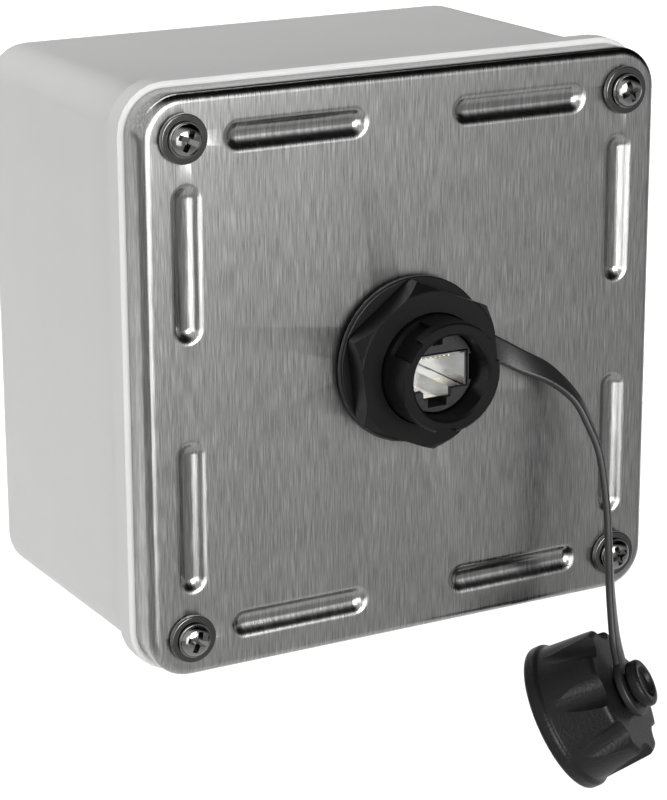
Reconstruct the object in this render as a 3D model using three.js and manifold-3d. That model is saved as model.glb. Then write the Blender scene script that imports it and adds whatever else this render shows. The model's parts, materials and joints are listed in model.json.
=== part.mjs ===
// Network wall box: a deep square plastic box with a stainless pan cover, a sealed bayonet
// RJ45 receptacle through the cover and a dust cap hanging on a strap.
// Millimetres, +Z up, the front faces -Y, origin at the centre of the rear mounting face.
import * as THREE from 'three';
import { mergeVertices } from 'three/addons/utils/BufferGeometryUtils.js';
import Module from 'manifold-3d';

const wasm = await Module();
wasm.setup();

// ---------------------------------------------------------------- driving dimensions
const DEPTH = 75;              // mounting face to cover face
const GAP = 0.3;               // air left between neighbouring pieces

const COVER_HALF = 57.15;      // 4.5 in square cover
const COVER_R = 8.5;
const COVER_DEEP = 7.2;
const SHEET = 1.0;
const SLOT_LONG = 28.9;
const SLOT_WIDE = 4.3;
const SLOT_DEEP = 1.6;
const SLOT_SHOULDER = 0.95;
const SLOT_ALONG = 24.8;       // slot centre along its edge
const SLOT_OUT = 48.2;         // slot centre from the middle of the cover

const BODY_HALF = 56.2;
const BODY_R = 7.5;
const BODY_WALL = 3.2;
const BACK_WALL = 3.5;
const BACK_ROUND = 3;
const LIP_HALF = 58.2;
const LIP_R = 9.5;
const LIP_BACK = 13;           // back of the lip, behind the cover face
const RIM_HALF = 55.4;
const RIM_FRONT = 2.6;
const REAR_HOLE = 38;
const REAR_HOLE_R = 2.5;
const ENTRY_R = 11.1;
const ENTRY_Z = -24;           // cable entry, below the middle of the back

const SCREW_AT = 48.95;
const BOSS_R = 4.6;
const INSERT_R = 2.6;
const INSERT_LONG = 8;
const SHANK_R = 1.6;
const SHANK_LONG = 13;
const HEAD_R = 3.45;
const HEAD_TALL = 1.75;
const WASHER_R = 4.75;
const WASHER_THICK = 0.5;
const CLEAR_R = 2.1;

const BARREL_R = 11.0;
const BARREL_BORE_R = 8.4;
const BARREL_OUT = 16;         // barrel mouth in front of the cover face
const GROOVE_R = 10.0;
const GROOVE_HALF_DEG = 12;
const GROOVE_DEG = [143, 263, 23];
const GROOVE_DEEP = 6.6;
const GROOVE_LIP = 2.2;
const GROOVE_LEG_DEG = 34;
const FLANGE_R = 15.5;
const REAR_TUBE_R = 12.5;
const PANEL_RING_R = 16.6;
const PANEL_RING_THICK = 0.8;
const HOLE_R = BARREL_R + 0.4;

const TETHER_THICK = 1.5;
const TETHER_OFF = [-0.5, 0.7];
const NUT_FLATS = 30;
const NUT_THICK = 5;
const NUT_TURN = 0.64;

const JACK_R = 8.1;
const JACK_FACE = 10.5;        // jack face in front of the cover face
const JACK_BACK = 17;          // jack back behind the cover face
const SOCKET_HALF = 6.8;
const SOCKET_TOP = 3.7;
const SOCKET_FLOOR = -3.8;
const SOCKET_DEEP = 13.5;
const SHIELD = 0.4;
const LATCH_HALF = [3.15, 2.1];
const LATCH_FLOOR = [-5.4, -7.0];
const CONTACTS = 8;
const CONTACT_PITCH = 1.02;

const REAR_JACK_HALF = 8;
const REAR_JACK_LONG = 14.5;

const CAP_R = 15.5;
const CAP_END_R = 13.65;
const CAP_LONG = 15;
const CAP_BEAD = 3;
const CAP_BORE_R = 11.9;
const CAP_BORE_DEEP = 11.5;
const KNOB_R = 5;
const NECK_R = 3;
const NECK_LONG = 2.8;
const KNOB_THICK = 2.4;
const FLUTES = 8;
const FLUTE_R = 3.4;
const FLUTE_DEEP = 1.9;
const CAP_RIM_AT = new THREE.Vector3(29.3, -12 - DEPTH, -78.1);
const CAP_AXIS = new THREE.Vector3(0.62, -0.6, 0.5).normalize();

const STRAP_WIDE = 5;
const STRAP_THICK = 1.5;
const STRAP_GAP = 0.9;         // half of the gap left at each bend
const STRAP_TAPER = 1.6;
const LOOP_R = 6;
const LOOP_HOLE_R = 3.5;
const LOOP_THICK = 1.6;
const SWING_Z = -12.4;         // height of the bend that swings sideways
const LIFT_Z = -43.5;          // height of the bend that lifts outward

// ---------------------------------------------------------------- worked-out positions
const FACE = -DEPTH;
const coverBack = FACE + SHEET;
const rimFront = FACE + RIM_FRONT;
const lipFront = FACE + COVER_DEEP + GAP;
const lipBack = FACE + LIP_BACK;
const sealBack = FACE - 0.25;
const sealFront = sealBack - WASHER_THICK;
const washerBack = sealFront - 0.25;
const washerFront = washerBack - WASHER_THICK;
const headBack = washerFront - 0.25;
const headFront = headBack - HEAD_TALL;
const ringBack = FACE - GAP;
const ringFront = ringBack - PANEL_RING_THICK;
const tetherBack = ringFront - GAP;
const tetherFront = tetherBack - TETHER_THICK;
const tetherMid = (tetherBack + tetherFront) / 2;
const nutBack = tetherFront - GAP;
const nutFront = nutBack - NUT_THICK;
const barrelFront = FACE - BARREL_OUT;
const rearRingFront = coverBack + GAP;
const rearRingBack = rearRingFront + PANEL_RING_THICK;
const flangeFront = rearRingBack + GAP;
const flangeBack = flangeFront + 3;
const jackFace = FACE - JACK_FACE;
const jackBack = FACE + JACK_BACK;
const socketBack = jackFace + SOCKET_DEEP;

// ---------------------------------------------------------------- materials
const COLOURS = {
  boxPlastic: [0xd6d6d4, 0.5, 0],
  stainless: [0x9a9a98, 0.35, 0.9],
  steel: [0xb0b0ae, 0.3, 0.9],
  brass: [0xc29a4b, 0.4, 0.9],
  gold: [0xd9b25a, 0.3, 0.9],
  rubber: [0x1d1d1f, 0.8, 0],
  blackPlastic: [0x202022, 0.6, 0],
  strapRubber: [0x2a2a2c, 0.7, 0],
  capPlastic: [0x303033, 0.65, 0],
};

const assembly = new THREE.Group();
assembly.name = 'network_wall_box';

function place(name, geometry, slot) {
  const [color, roughness, metalness] = COLOURS[slot];
  const material = new THREE.MeshStandardMaterial({ color, roughness, metalness });
  const mesh = new THREE.Mesh(geometry, material);
  mesh.name = name;
  assembly.add(mesh);
}

// ---------------------------------------------------------------- shape helpers
function signedVolume(geometry) {
  const p = geometry.getAttribute('position');
  const index = geometry.getIndex();
  const a = new THREE.Vector3();
  const b = new THREE.Vector3();
  const c = new THREE.Vector3();
  let sum = 0;
  for (let i = 0; i < index.count; i += 3) {
    a.fromBufferAttribute(p, index.getX(i));
    b.fromBufferAttribute(p, index.getX(i + 1));
    c.fromBufferAttribute(p, index.getX(i + 2));
    sum += a.dot(b.cross(c));
  }
  return sum;
}

function welded(geometry) {
  const bare = geometry.clone();
  bare.deleteAttribute('normal');
  bare.deleteAttribute('uv');
  const merged = mergeVertices(bare, 1e-4);
  const index = Array.from(merged.getIndex().array);
  const kept = [];
  for (let i = 0; i < index.length; i += 3) {
    const [a, b, c] = index.slice(i, i + 3);
    if (a !== b && b !== c && c !== a) kept.push(a, b, c);
  }
  merged.setIndex(kept);
  if (signedVolume(merged) < 0) {
    merged.setIndex(kept.reverse());
  }
  return merged;
}

function solid(geometry) {
  const merged = welded(geometry);
  const vertProperties = Float32Array.from(merged.getAttribute('position').array);
  const triVerts = Uint32Array.from(merged.getIndex().array);
  return new wasm.Manifold(new wasm.Mesh({ numProp: 3, vertProperties, triVerts }));
}

function surface(manifold) {
  const mesh = manifold.getMesh();
  const geometry = new THREE.BufferGeometry();
  const positions = new THREE.BufferAttribute(Float32Array.from(mesh.vertProperties), 3);
  geometry.setAttribute('position', positions);
  geometry.setIndex(Array.from(mesh.triVerts));
  geometry.computeVertexNormals();
  return geometry;
}

function plain(geometry) {
  const merged = welded(geometry);
  merged.computeVertexNormals();
  return merged;
}

function joined(first, ...others) {
  return others.reduce((sum, next) => sum.add(next), first);
}

function cut(first, ...others) {
  return others.reduce((left, next) => left.subtract(next), first);
}

function roundedRect(halfX, halfZ, r) {
  const shape = new THREE.Shape();
  shape.moveTo(halfX, -halfZ + r);
  shape.lineTo(halfX, halfZ - r);
  shape.absarc(halfX - r, halfZ - r, r, 0, Math.PI / 2, false);
  shape.lineTo(-halfX + r, halfZ);
  shape.absarc(-halfX + r, halfZ - r, r, Math.PI / 2, Math.PI, false);
  shape.lineTo(-halfX, -halfZ + r);
  shape.absarc(-halfX + r, -halfZ + r, r, Math.PI, 1.5 * Math.PI, false);
  shape.lineTo(halfX - r, -halfZ);
  shape.absarc(halfX - r, -halfZ + r, r, 1.5 * Math.PI, 2 * Math.PI, false);
  return shape;
}

const roundedSquare = (half, r) => roundedRect(half, half, r);

function stadium(halfLong, r) {
  const shape = new THREE.Shape();
  shape.moveTo(halfLong - r, -r);
  shape.absarc(halfLong - r, 0, r, -Math.PI / 2, Math.PI / 2, false);
  shape.lineTo(-halfLong + r, r);
  shape.absarc(-halfLong + r, 0, r, Math.PI / 2, 1.5 * Math.PI, false);
  return shape;
}

function outline(points) {
  const shape = new THREE.Shape();
  points.forEach(([x, z], i) => {
    if (i === 0) shape.moveTo(x, z);
    else shape.lineTo(x, z);
  });
  return shape;
}

function ringSector(rIn, rOut, fromDeg, toDeg) {
  const from = THREE.MathUtils.degToRad(fromDeg);
  const to = THREE.MathUtils.degToRad(toDeg);
  const shape = new THREE.Shape();
  shape.absarc(0, 0, rOut, from, to, false);
  shape.absarc(0, 0, rIn, to, from, true);
  return shape;
}

// A flat shape drawn in X and Z, made thick from yFront back to yBack.
function slab(shape, yFront, yBack, curveSegments = 3) {
  const depth = yBack - yFront;
  const geometry = new THREE.ExtrudeGeometry(shape, { depth, bevelEnabled: false, curveSegments });
  geometry.rotateX(Math.PI / 2);
  geometry.translate(0, yBack, 0);
  return geometry;
}

// The same, with both end edges rounded inward by "round".
function softSlab(shape, yFront, yBack, round, steps = 3, curveSegments = 3) {
  const geometry = new THREE.ExtrudeGeometry(shape, {
    depth: yBack - yFront - 2 * round,
    bevelEnabled: true,
    bevelThickness: round,
    bevelSize: round,
    bevelOffset: -round,
    bevelSegments: steps,
    curveSegments,
  });
  geometry.rotateX(Math.PI / 2);
  geometry.translate(0, yBack - round, 0);
  return geometry;
}

// A turned piece about a front-to-back axis; the profile lists [radius, y] and closes itself.
function turned(profile, segments = 36) {
  const points = profile.map(([r, y]) => new THREE.Vector2(r, y));
  const onAxis = profile[0][0] === 0 && profile[profile.length - 1][0] === 0;
  if (!onAxis) points.push(points[0].clone());
  return new THREE.LatheGeometry(points, segments);
}

function tube(rIn, rOut, yFront, yBack, segments = 36) {
  return turned([[rIn, yFront], [rOut, yFront], [rOut, yBack], [rIn, yBack]], segments);
}

function rod(r, yFront, yBack, segments = 24) {
  return turned([[0, yFront], [r, yFront], [r, yBack], [0, yBack]], segments);
}

function block(x0, x1, y0, y1, z0, z1) {
  const geometry = new THREE.BoxGeometry(x1 - x0, y1 - y0, z1 - z0);
  geometry.translate((x0 + x1) / 2, (y0 + y1) / 2, (z0 + z1) / 2);
  return geometry;
}

const CORNERS = [[-1, 1], [1, 1], [-1, -1], [1, -1]];

function atCorners(make, out) {
  return CORNERS.map(([sx, sz]) => make().translate(sx * out, 0, sz * out));
}

// ---------------------------------------------------------------- box
function boxBody() {
  const cavity = solid(slab(roundedSquare(BODY_HALF - BODY_WALL, 5), FACE - 1, -BACK_WALL));
  const shell = joined(
    solid(softSlab(roundedSquare(BODY_HALF, BODY_R), lipBack - 4, 0, BACK_ROUND)),
    solid(softSlab(roundedSquare(LIP_HALF, LIP_R), lipFront, lipBack, 0.5, 1)),
    solid(slab(roundedSquare(RIM_HALF, BODY_R - 0.8), rimFront, lipBack)),
  );
  const bosses = atCorners(() => rod(BOSS_R, rimFront, -BACK_WALL + 1, 20), SCREW_AT);
  const pockets = atCorners(() => rod(INSERT_R + GAP, FACE, rimFront + INSERT_LONG + 6, 16), SCREW_AT);
  const rearHoles = atCorners(() => rod(REAR_HOLE_R, -BACK_WALL - 1, 1, 16), REAR_HOLE);
  const entry = rod(ENTRY_R, -BACK_WALL - 1, 1, 32).translate(0, 0, ENTRY_Z);
  const holes = [...pockets, ...rearHoles, entry];
  const filled = joined(cut(shell, cavity), ...bosses.map(solid));
  return surface(cut(filled, ...holes.map(solid)));
}

function screwInsert() {
  const front = rimFront + 0.2;
  return tube(SHANK_R + 0.35, INSERT_R, front, front + INSERT_LONG, 16);
}

function coverGasket() {
  const front = coverBack + GAP;
  const outer = solid(slab(roundedSquare(RIM_HALF - 0.2, BODY_R - 1), front, rimFront - GAP));
  const inner = solid(slab(roundedSquare(BODY_HALF - BODY_WALL + 0.3, 5), front - 1, rimFront + 1));
  return surface(cut(outer, inner));
}

// ---------------------------------------------------------------- cover
function slotPocket() {
  const reach = SLOT_SHOULDER;
  const shape = stadium(SLOT_LONG / 2 + reach, SLOT_WIDE / 2 + reach);
  return softSlab(shape, FACE - 4, FACE + SLOT_DEEP, reach, 2, 4);
}

function slotBack() {
  const half = SLOT_LONG / 2 + SLOT_SHOULDER - 0.1;
  const wide = SLOT_WIDE / 2 + SLOT_SHOULDER - 0.1;
  return slab(stadium(half, wide), coverBack - 0.5, FACE + SLOT_DEEP + 0.85, 4);
}

function eachSlot(make) {
  const placed = [];
  for (const along of [-SLOT_ALONG, SLOT_ALONG]) {
    for (const out of [-SLOT_OUT, SLOT_OUT]) {
      placed.push(make().translate(along, 0, out));
      placed.push(make().rotateY(Math.PI / 2).translate(out, 0, along));
    }
  }
  return placed.map(solid);
}

function coverPlate() {
  const outer = solid(softSlab(roundedSquare(COVER_HALF, COVER_R), FACE, FACE + 12, 0.9, 2, 4));
  const inner = solid(slab(roundedSquare(COVER_HALF - SHEET, COVER_R - SHEET), coverBack, FACE + 14, 4));
  const behind = solid(block(-70, 70, FACE + COVER_DEEP, FACE + 20, -70, 70));
  const pan = joined(cut(outer, inner, behind), ...eachSlot(slotBack));
  const screwHoles = atCorners(() => rod(CLEAR_R, FACE - 1, coverBack + 1, 16), SCREW_AT).map(solid);
  const centreHole = solid(rod(HOLE_R, FACE - 1, coverBack + 1, 36));
  return surface(cut(pan, ...eachSlot(slotPocket), ...screwHoles, centreHole));
}

function coverScrew() {
  const dome = [
    [0, headFront], [HEAD_R * 0.62, headFront], [HEAD_R * 0.88, headFront + HEAD_TALL * 0.28],
    [HEAD_R, headFront + HEAD_TALL * 0.65], [HEAD_R, headBack], [SHANK_R, headBack],
    [SHANK_R, headBack + SHANK_LONG - 1], [SHANK_R - 0.7, headBack + SHANK_LONG],
    [0, headBack + SHANK_LONG],
  ];
  const armX = solid(block(-1.8, 1.8, headFront - 1, headFront + 1.1, -0.42, 0.42));
  const armZ = solid(block(-0.42, 0.42, headFront - 1, headFront + 1.1, -1.8, 1.8));
  return surface(cut(solid(turned(dome, 24)), armX, armZ));
}

const screwWasher = () => tube(CLEAR_R, WASHER_R, washerFront, washerBack, 24);
const screwSeal = () => tube(CLEAR_R, WASHER_R - 0.15, sealFront, sealBack, 24);

function placeAtScrews(name, make, slot) {
  CORNERS.forEach(([sx, sz], i) => {
    const geometry = make().translate(sx * SCREW_AT, 0, sz * SCREW_AT);
    place(`${name}_${i + 1}`, plain(geometry), slot);
  });
}

// ---------------------------------------------------------------- receptacle
function bayonetGrooves() {
  const reach = BARREL_R + 1;
  return GROOVE_DEG.flatMap((deg) => {
    const entry = ringSector(GROOVE_R, reach, deg - GROOVE_HALF_DEG, deg + GROOVE_HALF_DEG);
    const leg = ringSector(GROOVE_R, reach, deg - GROOVE_LEG_DEG, deg + 1);
    return [
      solid(slab(entry, barrelFront - 1, barrelFront + GROOVE_DEEP, 2)),
      solid(slab(leg, barrelFront + GROOVE_LIP, barrelFront + GROOVE_DEEP, 2)),
    ];
  });
}

function receptacleBody() {
  const back = jackBack + 1;
  const profile = [
    [BARREL_BORE_R + 0.5, barrelFront], [BARREL_R - 0.4, barrelFront], [BARREL_R, barrelFront + 0.4],
    [BARREL_R, flangeFront], [FLANGE_R, flangeFront], [FLANGE_R, flangeBack],
    [REAR_TUBE_R, flangeBack], [REAR_TUBE_R, back], [BARREL_BORE_R, back],
    [BARREL_BORE_R, barrelFront + 0.5],
  ];
  return surface(cut(solid(turned(profile, 40)), ...bayonetGrooves()));
}

function hexNut() {
  const corner = NUT_FLATS / Math.sqrt(3);
  const points = [0, 1, 2, 3, 4, 5].map((k) => {
    const turn = NUT_TURN + (k * Math.PI) / 3;
    return [corner * Math.cos(turn), corner * Math.sin(turn)];
  });
  const chamfer = [
    [0, nutFront], [corner - 1.9, nutFront], [corner + 0.1, nutFront + 1.15],
    [corner + 0.1, nutBack - 0.6], [corner - 0.9, nutBack], [0, nutBack],
  ];
  const hex = solid(slab(outline(points), nutFront, nutBack));
  const rounded = hex.intersect(solid(turned(chamfer, 48)));
  return surface(rounded.subtract(solid(rod(HOLE_R - 0.1, nutFront - 1, nutBack + 1, 40))));
}

function socketOutline() {
  return outline([
    [-SOCKET_HALF, SOCKET_TOP], [-SOCKET_HALF, SOCKET_FLOOR],
    [-LATCH_HALF[0], SOCKET_FLOOR], [-LATCH_HALF[0], LATCH_FLOOR[0]],
    [-LATCH_HALF[1], LATCH_FLOOR[0]], [-LATCH_HALF[1], LATCH_FLOOR[1]],
    [LATCH_HALF[1], LATCH_FLOOR[1]], [LATCH_HALF[1], LATCH_FLOOR[0]],
    [LATCH_HALF[0], LATCH_FLOOR[0]], [LATCH_HALF[0], SOCKET_FLOOR],
    [SOCKET_HALF, SOCKET_FLOOR], [SOCKET_HALF, SOCKET_TOP],
  ]);
}

function jackInsert() {
  const core = solid(rod(JACK_R, jackFace, jackBack, 36));
  const socket = solid(slab(socketOutline(), jackFace - 1, socketBack));
  const keyNotch = solid(block(-1.1, 1.1, jackFace - 1, jackFace + 2.5, 5.3, 9));
  const sideNotch = solid(block(7.1, 9, jackFace - 1, jackFace + 3, -2.6, 2.6));
  return surface(cut(core, socket, keyNotch, sideNotch));
}

function jackShield() {
  const outer = SOCKET_HALF - GAP;
  const inner = outer - SHIELD;
  const top = SOCKET_TOP - GAP;
  const foot = SOCKET_FLOOR + GAP;
  const shape = outline([
    [-outer, foot], [-inner, foot], [-inner, top - SHIELD], [inner, top - SHIELD],
    [inner, foot], [outer, foot], [outer, top], [-outer, top],
  ]);
  return slab(shape, jackFace + 0.2, socketBack - GAP);
}

function contactComb() {
  return block(-5.2, 5.2, socketBack - 3.2, socketBack - GAP, 1.15, SOCKET_TOP - GAP - SHIELD - GAP);
}

function contact(k) {
  const start = new THREE.Vector3(0, jackFace + 1.6, 2.45);
  const end = new THREE.Vector3(0, socketBack - 3.6, 1.35);
  const across = (k - (CONTACTS - 1) / 2) * CONTACT_PITCH;
  const geometry = new THREE.BoxGeometry(0.42, start.distanceTo(end), 0.35);
  geometry.rotateX(Math.atan2(end.z - start.z, end.y - start.y));
  geometry.translate(across, (start.y + end.y) / 2, (start.z + end.z) / 2);
  return geometry;
}

function rearJack() {
  const front = jackBack + 1 + GAP;
  const back = front + REAR_JACK_LONG;
  const h = REAR_JACK_HALF;
  const body = solid(block(-h, h, front, back, -h, h - 1));
  const socket = solid(slab(socketOutline(), back - SOCKET_DEEP, back + 1));
  return surface(body.subtract(socket));
}

function rearShield() {
  const front = jackBack + 3;
  const back = jackBack + REAR_JACK_LONG;
  const inner = REAR_JACK_HALF + GAP;
  const outer = inner + 0.5;
  const wrap = solid(block(-outer, outer, front, back, -outer, outer - 1));
  const space = solid(block(-inner, inner, front - 1, back + 1, -inner, inner - 1));
  return surface(wrap.subtract(space));
}

function cableGrommet() {
  return turned([
    [4.5, -9], [7.5, -9], [8.5, -6.2], [13, -6.2], [13, -BACK_WALL - GAP],
    [ENTRY_R - GAP, -BACK_WALL - GAP], [ENTRY_R - GAP, -GAP], [4.5, -GAP],
  ], 32).translate(0, 0, ENTRY_Z);
}

// ---------------------------------------------------------------- strap
// The strap's centre line, in X, depth in front of the cover face, and Z, with the
// direction its broad face looks and its width there.
const STRAP_STATIONS = [
  { at: [13.5, 2.3, 0.5], looks: [0, -1, 0], wide: 10 },
  { at: [19.4, 2.35, -0.7], looks: [0, -1, 0], wide: 7 },
  { at: [23.9, 3.2, -3.1], looks: [0.1, -0.95, 0.25], wide: 5.4 },
  { at: [29.3, 5, -6.1], looks: [0.35, -0.75, 0.5], wide: STRAP_WIDE },
  { at: [33.6, 8, -10.7], looks: [0.6, -0.5, 0.62], wide: STRAP_WIDE },
  { at: [35.9, 10, -16.2], looks: [0.75, -0.5, 0.4], wide: STRAP_WIDE },
  { at: [37.7, 11.5, -22.6], looks: [0.85, -0.5, 0.15], wide: STRAP_WIDE },
  { at: [38.7, 13, -33], looks: [0.82, -0.57, 0], wide: STRAP_WIDE },
  { at: [38.9, 14, -43.5], looks: [0.8, -0.6, 0], wide: STRAP_WIDE },
  { at: [39.1, 14.6, -51.5], looks: [0.75, -0.62, 0.1], wide: STRAP_WIDE },
  { at: [39.2, 16.3, -60.5], looks: [0.68, -0.62, 0.3], wide: STRAP_WIDE },
];
const LOOP_AT = CAP_RIM_AT.clone().addScaledVector(CAP_AXIS, CAP_LONG + NECK_LONG / 2);
const LOOP_JOIN = new THREE.Vector3(-0.175, 0.517, 0.837).normalize();

function strapCurves() {
  const join = LOOP_AT.clone().addScaledVector(LOOP_JOIN, (LOOP_R + LOOP_HOLE_R) / 2);
  const at = STRAP_STATIONS.map(({ at: [x, out, z] }) => new THREE.Vector3(x, FACE - out, z));
  const looks = STRAP_STATIONS.map((s) => new THREE.Vector3(...s.looks));
  const wide = STRAP_STATIONS.map((s) => new THREE.Vector3(s.wide, 0, 0));
  const all = [
    [...at, join],
    [...looks, CAP_AXIS.clone()],
    [...wide, new THREE.Vector3(STRAP_WIDE, 0, 0)],
  ];
  return all.map((points) => new THREE.CatmullRomCurve3(points, false, 'catmullrom', 0.5));
}

const [strapLine, strapLooks, strapWidth] = strapCurves();

// The curve parameter where the strap passes a height.
function parameterAtHeight(z) {
  let low = 0;
  let high = 1;
  for (let i = 0; i < 40; i += 1) {
    const mid = (low + high) / 2;
    if (strapLine.getPoint(mid).z > z) low = mid;
    else high = mid;
  }
  return low;
}

// The parameter a short distance along the strap from another.
function parameterBeyond(t, distance) {
  const step = Math.sign(distance) * 0.0005;
  let moved = 0;
  let here = t;
  while (moved < Math.abs(distance)) {
    moved += strapLine.getPoint(here).distanceTo(strapLine.getPoint(here + step));
    here += step;
  }
  return here;
}

function bandCorners(halfWide, halfThick) {
  const c = Math.min(0.35, halfThick * 0.6);
  return [
    [halfWide, halfThick - c], [halfWide - c, halfThick], [-halfWide + c, halfThick],
    [-halfWide, halfThick - c], [-halfWide, -halfThick + c], [-halfWide + c, -halfThick],
    [halfWide - c, -halfThick], [halfWide, -halfThick + c],
  ];
}

function bandSection(t, widthScale) {
  const centre = strapLine.getPoint(t);
  const along = strapLine.getTangent(t);
  const look = strapLooks.getPoint(t);
  look.addScaledVector(along, -look.dot(along)).normalize();
  const side = new THREE.Vector3().crossVectors(along, look);
  const halfWide = (strapWidth.getPoint(t).x / 2) * widthScale;
  return bandCorners(halfWide, STRAP_THICK / 2).map(([s, n]) => {
    return centre.clone().addScaledVector(side, s).addScaledVector(look, n);
  });
}

// A closed band along the strap from one parameter to another, narrowed at a free end.
function band(from, to, sections, taperStart, taperEnd) {
  const ts = [];
  for (let i = 0; i <= sections; i += 1) ts.push(from + ((to - from) * i) / sections);
  if (taperStart) ts.splice(1, 0, parameterBeyond(from, STRAP_TAPER / 2));
  if (taperEnd) ts.splice(ts.length - 1, 0, parameterBeyond(to, -STRAP_TAPER / 2));
  const positions = [];
  ts.forEach((t, i) => {
    const narrow = (taperStart && i === 0) || (taperEnd && i === ts.length - 1);
    bandSection(t, narrow ? 0.5 : 1).forEach((p) => positions.push(p.x, p.y, p.z));
  });
  const n = 8;
  const index = [];
  for (let i = 0; i < ts.length - 1; i += 1) {
    for (let k = 0; k < n; k += 1) {
      const a = i * n + k;
      const b = i * n + ((k + 1) % n);
      index.push(a, b, a + n, b, b + n, a + n);
    }
  }
  for (let k = 1; k < n - 1; k += 1) {
    const last = (ts.length - 1) * n;
    index.push(0, k + 1, k, last, last + k, last + k + 1);
  }
  const geometry = new THREE.BufferGeometry();
  geometry.setAttribute('position', new THREE.BufferAttribute(Float32Array.from(positions), 3));
  geometry.setIndex(index);
  return geometry;
}

const swingAt = parameterAtHeight(SWING_Z);
const liftAt = parameterAtHeight(LIFT_Z);

function tetherRing() {
  const ring = tube(BARREL_R + 1.3, PANEL_RING_R, tetherFront, tetherBack, 44);
  ring.translate(TETHER_OFF[0], 0, TETHER_OFF[1]);
  const root = band(0, parameterBeyond(swingAt, -STRAP_GAP), 14, false, true);
  return surface(solid(ring).add(solid(root)));
}

function strapMid() {
  const from = parameterBeyond(swingAt, STRAP_GAP);
  return band(from, parameterBeyond(liftAt, -STRAP_GAP), 14, true, true);
}

function alongCapAxis(geometry, base) {
  const turn = new THREE.Quaternion().setFromUnitVectors(new THREE.Vector3(0, 1, 0), CAP_AXIS);
  return geometry.applyQuaternion(turn).translate(base.x, base.y, base.z);
}

function strapLower() {
  const lower = band(parameterBeyond(liftAt, STRAP_GAP), 1, 12, true, false);
  const half = LOOP_THICK / 2;
  const loop = alongCapAxis(tube(LOOP_HOLE_R, LOOP_R, -half, half, 28), LOOP_AT);
  const hole = alongCapAxis(rod(LOOP_HOLE_R, -3, 3, 28), LOOP_AT);
  return surface(solid(loop).add(solid(lower).subtract(solid(hole))));
}

// ---------------------------------------------------------------- cap
function flute(k) {
  const start = new THREE.Vector3(CAP_R - 0.9 + FLUTE_R, CAP_BEAD + 0.5, 0);
  const end = new THREE.Vector3(CAP_END_R + FLUTE_R - FLUTE_DEEP, CAP_LONG + 0.5, 0);
  const along = end.clone().sub(start);
  const geometry = new THREE.CylinderGeometry(FLUTE_R, FLUTE_R, along.length() + 4, 14);
  const turn = new THREE.Quaternion();
  turn.setFromUnitVectors(new THREE.Vector3(0, 1, 0), along.clone().normalize());
  geometry.applyQuaternion(turn);
  const middle = start.clone().add(end).multiplyScalar(0.5);
  geometry.translate(middle.x + along.x * 0.1, middle.y + 1.2, 0);
  geometry.rotateY((k * 2 * Math.PI) / FLUTES);
  return solid(geometry);
}

function capShell() {
  const knobBase = CAP_LONG + NECK_LONG;
  const knobTop = knobBase + KNOB_THICK;
  const profile = [
    [0, CAP_BORE_DEEP], [CAP_BORE_R, CAP_BORE_DEEP], [CAP_BORE_R, 0.6], [CAP_BORE_R + 0.6, 0],
    [CAP_R - 0.9, 0], [CAP_R, 0.9], [CAP_R, CAP_BEAD - 0.7], [CAP_R - 0.8, CAP_BEAD],
    [CAP_END_R + 0.35, CAP_LONG - 1], [CAP_END_R - 0.6, CAP_LONG], [NECK_R, CAP_LONG],
    [NECK_R, knobBase], [KNOB_R, knobBase], [KNOB_R, knobTop - 0.6], [KNOB_R - 0.6, knobTop],
    [2.4, knobTop], [2.1, knobTop - 0.9], [0, knobTop - 0.9],
  ];
  const flutes = Array.from({ length: FLUTES }, (_, k) => flute(k));
  const lugs = [0, 120, 240].map((deg) => {
    const shape = ringSector(CAP_BORE_R - 0.6, CAP_BORE_R + 0.4, deg - 8, deg + 8);
    return solid(slab(shape, 1.6, 3.6, 2));
  });
  const cap = joined(cut(solid(turned(profile, 40)), ...flutes), ...lugs);
  return alongCapAxis(surface(cap), CAP_RIM_AT);
}

function capSeal() {
  return alongCapAxis(tube(8, CAP_BORE_R - GAP, CAP_BORE_DEEP - 1.3, CAP_BORE_DEEP - GAP), CAP_RIM_AT);
}

// ---------------------------------------------------------------- assembly
place('box_body', boxBody(), 'boxPlastic');
placeAtScrews('screw_insert', screwInsert, 'brass');
place('cover_gasket', coverGasket(), 'rubber');
place('cover_plate', coverPlate(), 'stainless');
placeAtScrews('screw_seal', screwSeal, 'rubber');
placeAtScrews('screw_washer', screwWasher, 'steel');
placeAtScrews('cover_screw', coverScrew, 'steel');
place('panel_gasket', plain(tube(HOLE_R, PANEL_RING_R, ringFront, ringBack, 44)), 'rubber');
place('tether_ring', tetherRing(), 'strapRubber');
place('hex_nut', hexNut(), 'blackPlastic');
place('receptacle_body', receptacleBody(), 'blackPlastic');
place('rear_seal', plain(tube(HOLE_R, FLANGE_R, rearRingFront, rearRingBack, 36)), 'rubber');
place('jack_insert', jackInsert(), 'blackPlastic');
place('jack_shield', plain(jackShield()), 'steel');
place('contact_comb', plain(contactComb()), 'blackPlastic');
for (let k = 0; k < CONTACTS; k += 1) {
  place(`contact_${k + 1}`, plain(contact(k)), 'gold');
}
place('rear_jack', rearJack(), 'blackPlastic');
place('rear_shield', rearShield(), 'steel');
place('cable_grommet', plain(cableGrommet()), 'rubber');
place('strap_mid', plain(strapMid()), 'strapRubber');
place('strap_lower', strapLower(), 'strapRubber');
place('cap_shell', capShell(), 'capPlastic');
place('cap_seal', plain(capSeal()), 'rubber');

export default assembly;
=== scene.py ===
"""Network wall box: the looks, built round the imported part."""
import json
import math

import bmesh
import bpy
from bpy.props import FloatProperty, FloatVectorProperty, IntProperty, PointerProperty
from mathutils import Matrix, Vector


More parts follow.
